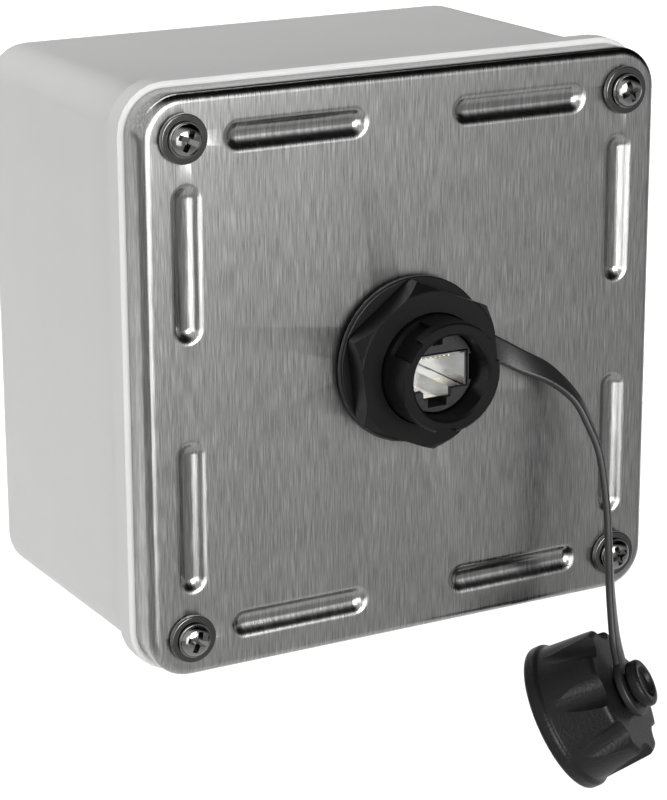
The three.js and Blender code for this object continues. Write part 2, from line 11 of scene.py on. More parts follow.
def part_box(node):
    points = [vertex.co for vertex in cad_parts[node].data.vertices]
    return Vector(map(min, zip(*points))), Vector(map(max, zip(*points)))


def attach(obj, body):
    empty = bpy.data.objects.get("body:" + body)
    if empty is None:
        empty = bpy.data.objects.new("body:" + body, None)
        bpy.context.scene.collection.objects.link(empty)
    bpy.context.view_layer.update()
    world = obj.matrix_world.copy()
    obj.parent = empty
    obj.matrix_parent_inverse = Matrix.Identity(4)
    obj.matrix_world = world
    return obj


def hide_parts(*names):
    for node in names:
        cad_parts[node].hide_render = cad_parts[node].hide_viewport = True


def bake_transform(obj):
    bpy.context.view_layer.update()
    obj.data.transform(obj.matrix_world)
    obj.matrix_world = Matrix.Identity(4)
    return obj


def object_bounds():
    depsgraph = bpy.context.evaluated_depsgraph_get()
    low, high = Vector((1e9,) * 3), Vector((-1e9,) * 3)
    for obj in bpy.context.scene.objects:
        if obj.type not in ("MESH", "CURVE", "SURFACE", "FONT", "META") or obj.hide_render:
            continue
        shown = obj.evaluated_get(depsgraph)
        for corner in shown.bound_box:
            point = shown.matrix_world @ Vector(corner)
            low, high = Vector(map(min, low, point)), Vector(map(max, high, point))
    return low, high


bl_info = {
    "name": "Network Wall Box",
    "version": (1, 0, 0),
    "blender": (4, 5, 0),
    "location": "View3D > Sidebar > Network Box",
    "description": "Builds a network wall box with a stainless cover, a receptacle and its cap",
    "category": "Add Mesh",
}

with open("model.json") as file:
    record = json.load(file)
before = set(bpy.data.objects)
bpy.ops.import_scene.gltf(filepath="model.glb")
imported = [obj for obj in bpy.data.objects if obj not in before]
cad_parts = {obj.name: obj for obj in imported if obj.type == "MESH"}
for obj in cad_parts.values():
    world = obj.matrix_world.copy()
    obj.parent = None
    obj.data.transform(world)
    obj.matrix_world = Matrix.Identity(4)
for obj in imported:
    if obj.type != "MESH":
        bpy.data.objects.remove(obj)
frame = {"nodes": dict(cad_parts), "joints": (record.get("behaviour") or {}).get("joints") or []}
CAD_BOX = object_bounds()
MM = 0.001
CORNER_NUMBERS = range(1, 5)
CONTACT_NUMBERS = range(1, 9)


def middle(node):
    low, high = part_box(node)
    return (low + high) / 2


def reach(node):
    low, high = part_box(node)
    return high - low


def joint(name):
    return next(j for j in frame["joints"] if j["name"] == name)


FACE_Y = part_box("cover_plate")[0].y
COVER_HALF = reach("cover_plate").x / 2
COVER_DEEP = reach("cover_plate").y
SWING_AT = Vector(joint("tether_swing")["pos_m"])
LIFT_AT = Vector(joint("tether_lift")["pos_m"])
LOOP_AT = Vector(joint("cap_swivel")["pos_m"])
CAP_AXIS = Vector(joint("cap_swivel")["axis"]).normalized()

# The strap's route from the tether ring to the cap's loop: X, depth in front of the cover
# face and Z, the way its broad face looks, and its width, in millimetres.
STRAP_ROUTE = (
    ((13.5, 2.3, 0.5), (0, -1, 0), 10.0),
    ((19.4, 2.35, -0.7), (0, -1, 0), 5.2),
    ((23.9, 3.2, -3.1), (0.1, -0.95, 0.25), 4.6),
    ((29.3, 5, -6.1), (0.35, -0.75, 0.5), 4.6),
    ((33.6, 8, -10.7), (0.6, -0.5, 0.62), 4.7),
    ((35.9, 10, -16.2), (0.75, -0.5, 0.4), 5.0),
    ((37.7, 11.5, -22.6), (0.85, -0.5, 0.15), 5.0),
    ((38.7, 13, -33), (0.82, -0.57, 0), 5.0),
    ((38.9, 14, -43.5), (0.8, -0.6, 0), 5.0),
    ((39.1, 14.6, -51.5), (0.75, -0.62, 0.1), 5.0),
    ((39.2, 16.3, -60.5), (0.68, -0.62, 0.3), 5.0),
)
STRAP_END_WIDTH = 5.0 * MM
BLEND_HALF = 0.12  # half of each bending stretch, as a part of the strap's route

# Where the strap meets its loop, seen from the loop's middle.
LOOP_JOIN = Vector((-0.175, 0.517, 0.837)).normalized()
LOOP_JOIN_OUT = 4.75 * MM

CAMERA_AT = Vector((-0.2705, -0.5288, 0.1506))
CAMERA_LOOKS_AT = Vector((-0.0089, -0.0601, -0.0110))
CAMERA_ROLL = math.radians(-0.2)

# Each light panel: its place from the middle of the part, its side and its power.
LIGHT_PANELS = (
    ("key", (-0.33, -0.92, -0.05), 0.6, 0.75),
    ("top_left", (-0.5, 0.5, 0.9), 0.4, 0.2),
    ("front", (0.05, -0.9, 0.15), 0.4, 1.7),
)
FLOOR_PANEL = ("floor_wash", (1.05, 2.05, 1.3), 3.2, 46.0)
PANEL_SPREAD = math.radians(90)
FLOOR_PANEL_SPREAD = math.radians(80)
FLOOR_HALF = 12.0

# How far a direction has to point to the dark side for the room to fade, and to be black.
DARK_FROM, DARK_FULL = 0.3, 0.74


# ---------------------------------------------------------------- settings
class CoverSettings(bpy.types.PropertyGroup):
    corner_radius: FloatProperty(
        name="Corner radius", description="Radius of the cover's corners",
        default=8.5 * MM, unit="LENGTH",
    )
    bend_radius: FloatProperty(
        name="Bend radius", description="Radius of the bend between face and flange",
        default=1.9 * MM, unit="LENGTH",
    )
    sheet: FloatProperty(
        name="Sheet", description="Thickness of the stainless sheet",
        default=1.0 * MM, unit="LENGTH",
    )
    slot_length: FloatProperty(
        name="Slot length", description="Length of a pressed slot's inner channel",
        default=28.9 * MM, unit="LENGTH",
    )
    slot_width: FloatProperty(
        name="Slot width", description="Width of a pressed slot's inner channel",
        default=4.3 * MM, unit="LENGTH",
    )
    slot_depth: FloatProperty(
        name="Slot depth", description="How far a slot is pressed in",
        default=1.3 * MM, unit="LENGTH",
    )
    slot_shoulder: FloatProperty(
        name="Slot shoulder", description="Width of the rounded shoulder round a slot",
        default=1.25 * MM, unit="LENGTH",
    )
    slot_floor: FloatProperty(
        name="Slot floor", description="Width of the flat strip along a slot's floor",
        default=0.3 * MM, unit="LENGTH",
    )
    slot_along: FloatProperty(
        name="Slot along", description="Slot centre along its edge of the cover",
        default=24.8 * MM, unit="LENGTH",
    )
    slot_out: FloatProperty(
        name="Slot out", description="Slot centre from the middle of the cover",
        default=48.2 * MM, unit="LENGTH",
    )
    steel: FloatVectorProperty(
        name="Steel", description="Colour of the brushed stainless sheet",
        default=(0.4, 0.4, 0.396), subtype="COLOR",
    )


class BoxSettings(bpy.types.PropertyGroup):
    edge: FloatProperty(
        name="Edge", description="Rounding of the moulded edges",
        default=0.45 * MM, unit="LENGTH",
    )
    plastic: FloatVectorProperty(
        name="Plastic", description="Colour of the box's plastic",
        default=(0.75, 0.75, 0.745), subtype="COLOR",
    )


class ConnectorSettings(bpy.types.PropertyGroup):
    edge: FloatProperty(
        name="Edge", description="Rounding of the receptacle's edges",
        default=0.16 * MM, unit="LENGTH",
    )
    black: FloatVectorProperty(
        name="Black", description="Colour of the receptacle's plastic",
        default=(0.0045, 0.0045, 0.0048), subtype="COLOR",
    )


class StrapSettings(bpy.types.PropertyGroup):
    thickness: FloatProperty(
        name="Thickness", description="Thickness of the rubber strap",
        default=1.5 * MM, unit="LENGTH",
    )
    rings: IntProperty(
        name="Rings", description="Cross-sections along each half of the strap",
        default=56, min=8,
    )
    rubber: FloatVectorProperty(
        name="Rubber", description="Colour of the strap's rubber",
        default=(0.013, 0.013, 0.0135), subtype="COLOR",
    )


class CapSettings(bpy.types.PropertyGroup):
    edge: FloatProperty(
        name="Edge", description="Rounding of the cap's edges",
        default=0.3 * MM, unit="LENGTH",
    )
    flute_radius: FloatProperty(
        name="Flute radius", description="Radius of the scoops round the cap's side",
        default=4.2 * MM, unit="LENGTH",
    )
    flute_depth: FloatProperty(
        name="Flute depth", description="Depth of the scoops at the cap's end face",
        default=2.2 * MM, unit="LENGTH",
    )
    plastic: FloatVectorProperty(
        name="Plastic", description="Colour of the cap's plastic",
        default=(0.0065, 0.0065, 0.007), subtype="COLOR",
    )


class StageSettings(bpy.types.PropertyGroup):
    lens: FloatProperty(
        name="Lens", description="Camera focal length in millimetres",
        default=125.9, subtype="DISTANCE_CAMERA",
    )
    floor_drop: FloatProperty(
        name="Floor drop", description="Distance from the lowest point down to the floor",
        default=0.3, unit="LENGTH",
    )
    room_light: FloatProperty(
        name="Room light", description="Brightness of the white room", default=0.77, min=0,
    )
    dark_side: FloatVectorProperty(
        name="Dark side", description="Direction of the room's dark side",
        default=(0.6, 0.05, 0.8), subtype="DIRECTION",
    )
    floor_colour: FloatVectorProperty(
        name="Floor colour", description="Colour of the pale floor",
        default=(0.93, 0.93, 0.93), subtype="COLOR",
    )


class NetworkBoxSettings(bpy.types.PropertyGroup):
    cover: PointerProperty(type=CoverSettings)
    box: PointerProperty(type=BoxSettings)
    connector: PointerProperty(type=ConnectorSettings)
    strap: PointerProperty(type=StrapSettings)
    cap: PointerProperty(type=CapSettings)
    stage: PointerProperty(type=StageSettings)


def settings():
    return bpy.context.scene.network_box


# ---------------------------------------------------------------- shader groups
def new_group(name, inputs, outputs):
    group = bpy.data.node_groups.new(name, "ShaderNodeTree")
    for label, default in inputs:
        socket = group.interface.new_socket(label, in_out="INPUT", socket_type="NodeSocketFloat")
        socket.default_value = default
    for label in outputs:
        group.interface.new_socket(label, in_out="OUTPUT", socket_type="NodeSocketFloat")
    return group


def node(tree, kind, **values):
    made = tree.nodes.new(kind)
    for key, value in values.items():
        setattr(made, key, value)
    return made


def scaled_position(tree, x, y, z):
    coordinates = node(tree, "ShaderNodeTexCoord")
    mapping = node(tree, "ShaderNodeMapping")
    mapping.inputs["Scale"].default_value = (x, y, z)
    tree.links.new(coordinates.outputs["Object"], mapping.inputs["Vector"])
    return mapping.outputs["Vector"]


def noise(tree, vector, detail, roughness):
    made = node(tree, "ShaderNodeTexNoise")
    made.inputs["Scale"].default_value = 1.0
    made.inputs["Detail"].default_value = detail
    made.inputs["Roughness"].default_value = roughness
    tree.links.new(vector, made.inputs["Vector"])
    return made.outputs["Fac"]


def combine(tree, operation, first, second):
    made = node(tree, "ShaderNodeMath", operation=operation)
    for socket, value in zip(made.inputs, (first, second)):
        if isinstance(value, (int, float)):
            socket.default_value = value
        else:
            tree.links.new(value, socket)
    return made.outputs[0]


def moulded_grain_group():
    """Fine spark-eroded texture with a slow mottle under it."""
    group = new_group(
        "moulded_grain", (("Grain Scale", 2500.0), ("Mottle Scale", 60.0)), ("Grain", "Mottle")
    )
    inside = node(group, "NodeGroupInput")
    outside = node(group, "NodeGroupOutput")
    place = scaled_position(group, 1, 1, 1)
    fine = node(group, "ShaderNodeTexNoise")
    fine.inputs["Detail"].default_value = 3
    slow = node(group, "ShaderNodeTexNoise")
    slow.inputs["Detail"].default_value = 2
    for texture, label in ((fine, "Grain Scale"), (slow, "Mottle Scale")):
        group.links.new(place, texture.inputs["Vector"])
        group.links.new(inside.outputs[label], texture.inputs["Scale"])
    group.links.new(fine.outputs["Fac"], outside.inputs["Grain"])
    group.links.new(slow.outputs["Fac"], outside.inputs["Mottle"])
    return group


def brushing_group():
    """Upright brush lines: long in Z, fine across, broken up by a slower band."""
    group = new_group("brushing", (("Line Strength", 1.0),), ("Lines", "Fine Lines", "Bands"))
    inside = node(group, "NodeGroupInput")
    outside = node(group, "NodeGroupOutput")
    fine = noise(group, scaled_position(group, 5200, 1200, 170), 2.5, 0.6)
    mid = noise(group, scaled_position(group, 1900, 600, 110), 2.0, 0.55)
    slow = noise(group, scaled_position(group, 90, 60, 4), 2.0, 0.5)
    fine_part = combine(group, "MULTIPLY", fine, 0.84)
    mid_part = combine(group, "MULTIPLY", mid, 0.16)
    lines = combine(group, "ADD", fine_part, mid_part)
    centred = combine(group, "SUBTRACT", lines, 0.5)
    strong = combine(group, "MULTIPLY", centred, inside.outputs["Line Strength"])
    group.links.new(combine(group, "ADD", strong, 0.5), outside.inputs["Lines"])
    group.links.new(fine, outside.inputs["Fine Lines"])
    group.links.new(slow, outside.inputs["Bands"])
    return group


GROUPS = {}


def shared_group(name):
    makers = {"moulded_grain": moulded_grain_group, "brushing": brushing_group}
    if name not in GROUPS:
        GROUPS[name] = makers[name]()
    return GROUPS[name]


def placed_group(tree, name, **values):
    made = node(tree, "ShaderNodeGroup", node_tree=shared_group(name))
    for label, value in values.items():
        made.inputs[label.replace("_", " ")].default_value = value
    return made


def ranged(tree, value, low, high, from_low=0.3, from_high=0.7):
    """A value spread from low to high; the default range is where noise mostly lies."""
    made = node(tree, "ShaderNodeMapRange")
    made.inputs["From Min"].default_value = from_low
    made.inputs["From Max"].default_value = from_high
    made.inputs["To Min"].default_value = low
    made.inputs["To Max"].default_value = high
    tree.links.new(value, made.inputs["Value"])
    return made.outputs["Result"]


def shaded(tree, value, colour, darker, lighter, from_low=0.3, from_high=0.7):
    """The colour, made darker and lighter by a value."""
    ramp = node(tree, "ShaderNodeMix", data_type="RGBA")
    ramp.inputs["A"].default_value = (*[c * darker for c in colour], 1)
    ramp.inputs["B"].default_value = (*[min(1, c * lighter) for c in colour], 1)
    tree.links.new(ranged(tree, value, 0, 1, from_low, from_high), ramp.inputs["Factor"])
    return ramp.outputs["Result"]


def bump(tree, height, distance):
    made = node(tree, "ShaderNodeBump")
    made.inputs["Strength"].default_value = 1.0
    made.inputs["Distance"].default_value = distance
    tree.links.new(height, made.inputs["Height"])
    return made.outputs["Normal"]


def empty_material(name):
    made = bpy.data.materials.new(name)
    made.use_nodes = True
    tree = made.node_tree
    return made, tree, tree.nodes["Principled BSDF"]


def moulded(name, colour, rough, grain_scale, grain_depth, spread=0.08, shine=0.5):
    """Moulded plastic or rubber: fine grain in the bump, a slow mottle in colour and gloss."""
    made, tree, shader = empty_material(name)
    grain = placed_group(tree, "moulded_grain", Grain_Scale=grain_scale, Mottle_Scale=45.0)
    tree.links.new(
        shaded(tree, grain.outputs["Mottle"], colour, 1 - spread, 1 + spread),
        shader.inputs["Base Color"],
    )
    tree.links.new(
        ranged(tree, grain.outputs["Mottle"], rough - 0.04, rough + 0.05),
        shader.inputs["Roughness"],
    )
    tree.links.new(bump(tree, grain.outputs["Grain"], grain_depth), shader.inputs["Normal"])
    shader.inputs["Specular IOR Level"].default_value = shine
    return made


def polished(name, colour, rough, marks=0.6):
    """Metal with fine marks in its gloss."""
    made, tree, shader = empty_material(name)
    grain = placed_group(tree, "moulded_grain", Grain_Scale=1800.0, Mottle_Scale=120.0)
    tree.links.new(
        shaded(tree, grain.outputs["Mottle"], colour, 0.9, 1.06), shader.inputs["Base Color"]
    )
    tree.links.new(
        ranged(tree, grain.outputs["Grain"], rough - 0.05 * marks, rough + 0.08 * marks),
        shader.inputs["Roughness"],
    )
    tree.links.new(bump(tree, grain.outputs["Grain"], 0.000008 * marks), shader.inputs["Normal"])
    shader.inputs["Metallic"].default_value = 1
    return made


def brushed_stainless(name, colour):
    """Upright brushing in colour, gloss and bump, glossier where the sheet is pressed or bent."""
    made, tree, shader = empty_material(name)
    brush = placed_group(tree, "brushing", Line_Strength=1.0)
    tint = shaded(tree, brush.outputs["Lines"], colour, 0.86, 1.42, 0.44, 0.7)
    banded = node(tree, "ShaderNodeMix", data_type="RGBA", blend_type="MULTIPLY")
    banded.inputs["Factor"].default_value = 1
    tree.links.new(tint, banded.inputs["A"])
    tree.links.new(
        shaded(tree, brush.outputs["Bands"], (1, 1, 1), 0.92, 1.0), banded.inputs["B"]
    )
    tree.links.new(banded.outputs["Result"], shader.inputs["Base Color"])
    depth = node(tree, "ShaderNodeSeparateXYZ")
    coordinates = node(tree, "ShaderNodeTexCoord")
    tree.links.new(coordinates.outputs["Object"], depth.inputs["Vector"])
    pressed_from, pressed_full = FACE_Y + 0.02 * MM, FACE_Y + 0.35 * MM
    pressed = ranged(tree, depth.outputs["Y"], 0, 1, pressed_from, pressed_full)
    gloss = node(tree, "ShaderNodeMix", data_type="FLOAT")
    tree.links.new(pressed, gloss.inputs["Factor"])
    tree.links.new(ranged(tree, brush.outputs["Lines"], 0.26, 0.33), gloss.inputs["A"])
    tree.links.new(ranged(tree, brush.outputs["Lines"], 0.17, 0.24), gloss.inputs["B"])
    tree.links.new(gloss.outputs["Result"], shader.inputs["Roughness"])
    tree.links.new(bump(tree, brush.outputs["Fine Lines"], 0.000004), shader.inputs["Normal"])
    shader.inputs["Metallic"].default_value = 1
    return made


MATERIALS = {}


def material(name):
    """Each finish is made once and shared."""
    s = settings()
    makers = {
        "box_plastic": lambda: moulded(name, s.box.plastic, 0.42, 900.0, 0.00002, 0.02),
        "black_plastic": lambda: moulded(
            name, s.connector.black, 0.32, 2200.0, 0.00003, 0.15, 0.22
        ),
        "insert_plastic": lambda: moulded(
            name, (0.014, 0.014, 0.015), 0.55, 1500.0, 0.00012, 0.25, 0.4
        ),
        "cap_plastic": lambda: moulded(name, s.cap.plastic, 0.38, 1700.0, 0.0001, 0.25, 0.25),
        "strap_rubber": lambda: moulded(name, s.strap.rubber, 0.42, 1800.0, 0.00004, 0.12),
        "seal_rubber": lambda: moulded(name, (0.018, 0.018, 0.019), 0.62, 1600.0, 0.00003),
        "stainless": lambda: brushed_stainless(name, s.cover.steel),
        "bright_steel": lambda: polished(name, (0.3, 0.3, 0.297), 0.13),
        "washer_steel": lambda: polished(name, (0.16, 0.16, 0.158), 0.15),
        "shield_steel": lambda: polished(name, (0.93, 0.93, 0.92), 0.12, 0.15),
        "brass": lambda: polished(name, (0.66, 0.46, 0.19), 0.28),
        "gold": lambda: polished(name, (0.86, 0.74, 0.5), 0.18),
    }
    if name not in MATERIALS:
        MATERIALS[name] = makers[name]()
    return MATERIALS[name]


# ---------------------------------------------------------------- mesh helpers
def soften(obj, edge=0.0, segments=2, angle=math.radians(32)):
    """Smooth shading that keeps sharp corners, with small rounded edges if asked."""
    for polygon in obj.data.polygons:
        polygon.use_smooth = True
    if edge > 0:
        rounding = obj.modifiers.new("rounded_edges", "BEVEL")
        rounding.width = edge
        rounding.segments = segments
        rounding.limit_method = "ANGLE"
        rounding.angle_limit = angle
        rounding.use_clamp_overlap = True
    else:
        obj.data.set_sharp_from_angle(angle=angle)
    weighted = obj.modifiers.new("even_normals", "WEIGHTED_NORMAL")
    weighted.keep_sharp = True


def finished_object(name, bm, finish):
    bmesh.ops.remove_doubles(bm, verts=bm.verts, dist=1e-7)
    bmesh.ops.recalc_face_normals(bm, faces=bm.faces)
    mesh = bpy.data.meshes.new(name)
    bm.to_mesh(mesh)
    bm.free()
    obj = bpy.data.objects.new(name, mesh)
    bpy.context.scene.collection.objects.link(obj)
    mesh.materials.append(material(finish))
    return obj


def cad_copy(name, node_name, finish, slot, edge, segments=2, body="box"):
    """A CAD node's own shape, with its loose triangles merged and soft edges."""
    bm = bmesh.new()
    bm.from_mesh(frame["nodes"][node_name].data)
    bmesh.ops.remove_doubles(bm, verts=bm.verts, dist=2e-6)
    bmesh.ops.dissolve_limit(
        bm, angle_limit=math.radians(1.0), verts=bm.verts, edges=bm.edges,
        use_dissolve_boundaries=False,
    )
    obj = finished_object(name, bm, finish)
    soften(obj, edge, segments)
    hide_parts(node_name)
    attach(obj, body)
    return obj


def ring_of(bm, points):
    """A closed loop of new vertices and its edges."""
    verts = [bm.verts.new(p) for p in points]
    return [bm.edges.new((verts[i - 1], verts[i])) for i in range(len(verts))]


def skin(bm, rings):
    """Joins each ring to the next."""
    for first, second in zip(rings, rings[1:]):
        bmesh.ops.bridge_loops(bm, edges=first + second)


def cap_ring(bm, ring):
    bmesh.ops.contextual_create(bm, geom=ring)


def rounded_square(half, radius, y, steps=10):
    """Points round a square with rounded corners, in X and Z at one Y."""
    points = []
    for quarter in range(4):
        sx = (1, -1, -1, 1)[quarter]
        sz = (1, 1, -1, -1)[quarter]
        for k in range(steps + 1):
            turn = math.pi / 2 * (quarter + k / steps)
            x = sx * (half - radius) + radius * math.cos(turn)
            z = sz * (half - radius) + radius * math.sin(turn)
            points.append((x, y, z))
    return points


def stadium(length, width, y, centre, upright, steps=12):
    """Points round a slot with round ends."""
    radius = width / 2
    run = length / 2 - radius
    points = []
    for side in (0, 1):
        for k in range(steps + 1):
            turn = -math.pi / 2 + math.pi * (side + k / steps)
            along = (run if side == 0 else -run) + radius * math.cos(turn)
            across = radius * math.sin(turn)
            x, z = (across, along) if upright else (along, across)
            points.append((centre[0] + x, y, centre[1] + z))
    return points


def circle(radius, y, centre=(0.0, 0.0), steps=48):
    return [
        (
            centre[0] + radius * math.cos(2 * math.pi * k / steps),
            y,
            centre[1] + radius * math.sin(2 * math.pi * k / steps),
        )
        for k in range(steps)
    ]


def turned(profile, steps=40, centre=(0.0, 0.0)):
    """A bmesh turned from (radius, y) points about a front-to-back axis."""
    bm = bmesh.new()
    verts = [bm.verts.new((centre[0] + r, y, centre[1])) for r, y in profile]
    edges = [bm.edges.new((a, b)) for a, b in zip(verts, verts[1:])]
    bmesh.ops.spin(
        bm, geom=verts + edges, cent=(centre[0], 0, centre[1]), axis=(0, 1, 0),
        angle=2 * math.pi, steps=steps, use_merge=True, use_duplicate=False,
    )
    bmesh.ops.remove_doubles(bm, verts=bm.verts, dist=1e-6)
    return bm


def rounded_ring_profile(inner, outer, front, back, r, steps=3):
    """A flat ring's section with rounded outer and inner edges, closed."""
    corners = (
        ((outer - r, front + r), -90), ((outer - r, back - r), 0),
        ((inner + r, back - r), 90), ((inner + r, front + r), 180),
    )
    points = []
    for (cr, cy), start in corners:
        for k in range(steps + 1):
            turn = math.radians(start + 90 * k / steps)
            points.append((cr + r * math.cos(turn), cy + r * math.sin(turn)))
    return points + points[:1]


def intersect(obj, bm, operation):
    """Cuts an object with a closed bmesh, or joins them, and keeps the result as its mesh."""
    bmesh.ops.recalc_face_normals(bm, faces=bm.faces)
    mesh = bpy.data.meshes.new("cutter")
    bm.to_mesh(mesh)
    bm.free()
    tool = bpy.data.objects.new("cutter", mesh)
    bpy.context.scene.collection.objects.link(tool)
    obj.modifiers.clear()
    cut = obj.modifiers.new("cut", "BOOLEAN")
    cut.operation = operation
    cut.solver = "EXACT"
    cut.object = tool
    graph = bpy.context.evaluated_depsgraph_get()
    result = bpy.data.meshes.new_from_object(obj.evaluated_get(graph))
    obj.modifiers.clear()
    obj.data = result
    bpy.data.objects.remove(tool)


def pressed_curve(t, turn=0.38):
    """Runs from 0 to 1 as a tight shoulder that turns into a wide shallow trough."""
    return t * t / turn if t < turn else 1 - (1 - t) ** 2 / (1 - turn)


# ---------------------------------------------------------------- strap
def spline_point(points, u):
    """A point on a smooth curve through the points; u runs from 0 to 1."""
    spans = len(points) - 1
    span = min(int(u * spans), spans - 1)
    t = u * spans - span
    p1, p2 = points[span], points[span + 1]
    p0 = points[span - 1] if span > 0 else p1 * 2 - p2
    p3 = points[span + 2] if span + 2 <= spans else p2 * 2 - p1
    return 0.5 * (
        2 * p1 + (p2 - p0) * t + (2 * p0 - 5 * p1 + 4 * p2 - p3) * t * t
        + (3 * p1 - p0 - 3 * p2 + p3) * t * t * t
    )


def strap_stations():
    """The route's points, the ways it looks and its widths, with the loop's join as the last."""
    join = LOOP_AT + LOOP_JOIN * LOOP_JOIN_OUT
    at = [Vector((x * MM, FACE_Y - out * MM, z * MM)) for (x, out, z), _, _ in STRAP_ROUTE]
    looks = [Vector(look) for _, look, _ in STRAP_ROUTE]
    widths = [Vector((w * MM, 0, 0)) for _, _, w in STRAP_ROUTE]
    return at + [join], looks + [CAP_AXIS.copy()], widths + [Vector((STRAP_END_WIDTH, 0, 0))]


def strap_section(u, half_thick, corner_steps=3, nearby=0.004):
    """The strap's rounded cross-section at u, and its middle."""
    at, looks, widths = strap_stations()
    here = spline_point(at, u)
    ahead, behind = spline_point(at, min(1, u + nearby)), spline_point(at, max(0, u - nearby))
    along = (ahead - behind).normalized()
    look = spline_point(looks, u)
    look = (look - along * look.dot(along)).normalized()
    side = along.cross(look)
    half_wide = spline_point(widths, u).x / 2
    r = half_thick * 0.72
    points = []
    for quarter, (sw, st) in enumerate(((1, 1), (-1, 1), (-1, -1), (1, -1))):
        for k in range(corner_steps + 1):
            turn = math.pi / 2 * (quarter + k / corner_steps)
            w = sw * (half_wide - r) + r * math.cos(turn)
            t = st * (half_thick - r) + r * math.sin(turn)
            points.append(here + side * w + look * t)
    return points, here


def height_parameter(z):
    """Where along the strap its middle passes a height, found by halving."""
    at = strap_stations()[0]
    low, high = 0.0, 1.0
    for _ in range(40):
        half = (low + high) / 2
        low, high = (half, high) if spline_point(at, half).z > z else (low, half)
    return low


def strap_band(name, start, end):
    """A closed length of the strap from start to end of its route, and its centreline."""
    s = settings().strap
    bm = bmesh.new()
    rings, path = [], []
    for k in range(s.rings + 1):
        points, here = strap_section(start + (end - start) * k / s.rings, s.thickness / 2)
        rings.append(ring_of(bm, points))
        path.append(here)
    skin(bm, rings)
    for ring in (rings[0], rings[-1]):
        cap_ring(bm, ring)
    obj = finished_object(name, bm, "strap_rubber")
    for polygon in obj.data.polygons:
        polygon.use_smooth = True
    obj.data.set_sharp_from_angle(angle=math.radians(50))
    return obj, path


def put_on_cap_axis(bm, base):
    """Turns a shape made about the Y axis onto the cap's axis."""
    turn = Vector((0, 1, 0)).rotation_difference(CAP_AXIS).to_matrix().to_4x4()
    bmesh.ops.transform(bm, matrix=Matrix.Translation(base) @ turn, verts=bm.verts)


class STAGE_OT_camera(bpy.types.Operator):
    """Places the camera"""

    bl_idname = "network_box.camera"
    bl_label = "Camera"

    def execute(self, context):
        s = settings().stage
        data = bpy.data.cameras.new("camera")
        data.lens = s.lens
        data.sensor_width = 36
        data.dof.use_dof = False
        data.clip_start = 0.01
        camera = bpy.data.objects.new("camera", data)
        context.scene.collection.objects.link(camera)
        facing = (CAMERA_LOOKS_AT - CAMERA_AT).to_track_quat("-Z", "Y").to_matrix().to_4x4()
        roll = Matrix.Rotation(CAMERA_ROLL, 4, "Z")
        camera.matrix_world = Matrix.Translation(CAMERA_AT) @ facing @ roll
        context.scene.camera = camera
        return {"FINISHED"}


class PART_OT_strap(bpy.types.Operator):
    """Builds the rubber strap, its ring behind the nut and the loop on the cap's knob"""

    bl_idname = "network_box.strap"
    bl_label = "Strap"

    def execute(self, context):
        seam = height_parameter((SWING_AT.z + LIFT_AT.z) / 2)
        upper, upper_path = strap_band("strap_upper", 0.0, seam)
        lower, lower_path = strap_band("strap_hanging", seam, 1.0)
        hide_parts("strap_mid")
        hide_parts("strap_lower")
        self.ring()
        self.loop()
        swing_start, swing_end = self.bending(SWING_AT)
        lift_start, lift_end = self.bending(LIFT_AT)
        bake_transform(upper)
        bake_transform(lower)
        return {"FINISHED"}

    def bending(self, hinge_at):
        """The two ends of the stretch that bends about a hinge."""
        at = strap_stations()[0]
        u = height_parameter(hinge_at.z)
        return spline_point(at, u - BLEND_HALF), spline_point(at, u + BLEND_HALF)

    def ring(self):
        """The flat ring clamped behind the nut."""
        low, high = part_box("tether_ring")
        hole_r, radius = 12.3 * MM, 16.6 * MM
        centre = (low.x + radius, high.z - radius)
        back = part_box("panel_gasket")[0].y - 0.3 * MM
        front = back - settings().strap.thickness
        profile = rounded_ring_profile(hole_r, radius, front, back, 0.35 * MM)
        bm = turned(profile, 72, centre)
        ring = finished_object("strap_ring", bm, "black_plastic")
        soften(ring)
        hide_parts("tether_ring")
        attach(ring, "box")

    def loop(self):
        """The loop round the neck of the cap's knob."""
        hole_r, radius, half = 3.5 * MM, 6 * MM, 0.8 * MM
        profile = rounded_ring_profile(hole_r, radius, -half, half, 0.4 * MM)
        bm = turned(profile, 48)
        put_on_cap_axis(bm, LOOP_AT)
        loop = finished_object("strap_loop", bm, "strap_rubber")
        soften(loop)
        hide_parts("strap_lower")
        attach(loop, "tether_lower")


